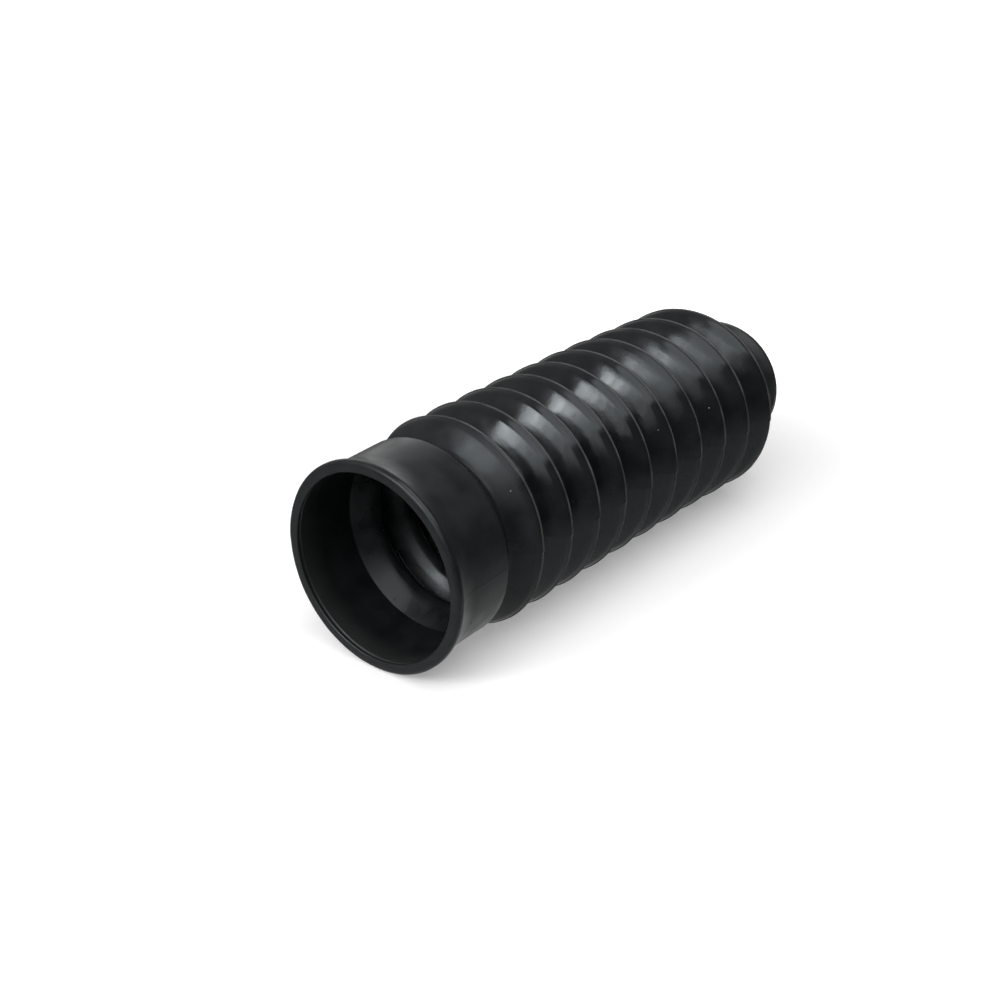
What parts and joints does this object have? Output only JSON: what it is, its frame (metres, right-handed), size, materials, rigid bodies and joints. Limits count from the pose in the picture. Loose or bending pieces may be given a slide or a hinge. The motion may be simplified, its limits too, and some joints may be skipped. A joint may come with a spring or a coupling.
{
  "type": "fork gaiter",
  "caption": "Round bellows cover of black rubber for a fork leg, with a wide smooth collar at one end and a narrow neck at the other.",
  "frame": {"origin": "centre of the wide mouth, in the plane of its rim", "axes": "+Z along the axis, from the wide mouth up to the narrow neck"},
  "size_m": [0.078, 0.078, 0.2199],
  "materials": {
    "black_rubber": "black moulded rubber, satin on the collar and glossier on the folds"
  },
  "bodies": {
    "root": {"fork_gaiter": "black_rubber"}
  },
  "joints": []
}
